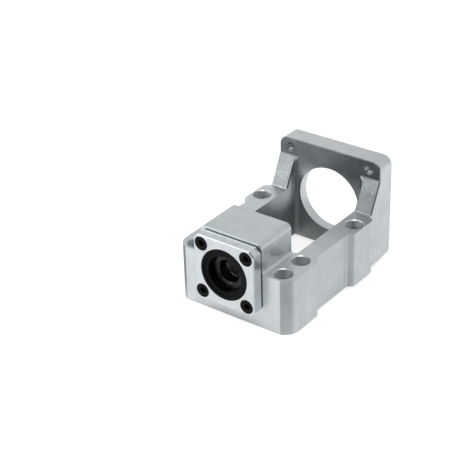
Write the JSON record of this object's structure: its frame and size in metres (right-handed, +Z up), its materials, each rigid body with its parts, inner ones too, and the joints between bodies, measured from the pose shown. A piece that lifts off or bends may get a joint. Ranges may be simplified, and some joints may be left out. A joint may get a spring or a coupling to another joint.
{
  "type": "screw support motor bracket",
  "caption": "Cast aluminium bracket with a built-in screw support bearing and a square motor flange, joined by two bolted-down side walls.",
  "frame": {"origin": "on the base plane, below the middle of the bearing block and on the bracket's plane of symmetry", "axes": "+X across the bracket, +Y along the shaft axis from the bearing cover to the motor flange, +Z up from the base plane"},
  "size_m": [0.0692, 0.1049, 0.06],
  "materials": {
    "cast_aluminium": "tumbled casting with milled faces",
    "machined_aluminium": "fine milled",
    "black_oxide_steel": "black oxide, lightly oiled",
    "seal_rubber": "moulded nitrile rubber",
    "spring_steel": "drawn wire",
    "bearing_steel": "ground and polished",
    "cage_plastic": "moulded polyamide"
  },
  "bodies": {
    "housing": {"bracket_body": "cast_aluminium", "retaining_cover": "machined_aluminium", "cover_screw_1": "black_oxide_steel", "cover_screw_2": "black_oxide_steel", "cover_screw_3": "black_oxide_steel", "cover_screw_4": "black_oxide_steel", "front_oil_seal": "seal_rubber", "rear_oil_seal": "seal_rubber", "front_seal_spring": "spring_steel", "rear_seal_spring": "spring_steel", "front_outer_ring": "bearing_steel", "rear_outer_ring": "bearing_steel"},
    "spindle": {"front_inner_ring": "bearing_steel", "rear_inner_ring": "bearing_steel", "front_collar": "black_oxide_steel"},
    "front_cage_set": {"front_cage": "cage_plastic", "front_balls": "bearing_steel"},
    "rear_cage_set": {"rear_cage": "cage_plastic", "rear_balls": "bearing_steel"}
  },
  "joints": [
    {"name": "spindle_spin", "type": "hinge", "parent": "housing", "child": "spindle", "pos_m": [0, -0.00075, 0.0275], "axis": [0, 1, 0], "continuous": true},
    {"name": "front_cage_spin", "type": "hinge", "parent": "housing", "child": "front_cage_set", "pos_m": [0, -0.00475, 0.0275], "axis": [0, 1, 0], "continuous": true},
    {"name": "rear_cage_spin", "type": "hinge", "parent": "housing", "child": "rear_cage_set", "pos_m": [0, 0.00325, 0.0275], "axis": [0, 1, 0], "continuous": true}
  ],
  "couplings": [
    {"joint": "front_cage_spin", "follows": "spindle_spin", "ratio": 0.3969},
    {"joint": "rear_cage_spin", "follows": "spindle_spin", "ratio": 0.3969}
  ]
}
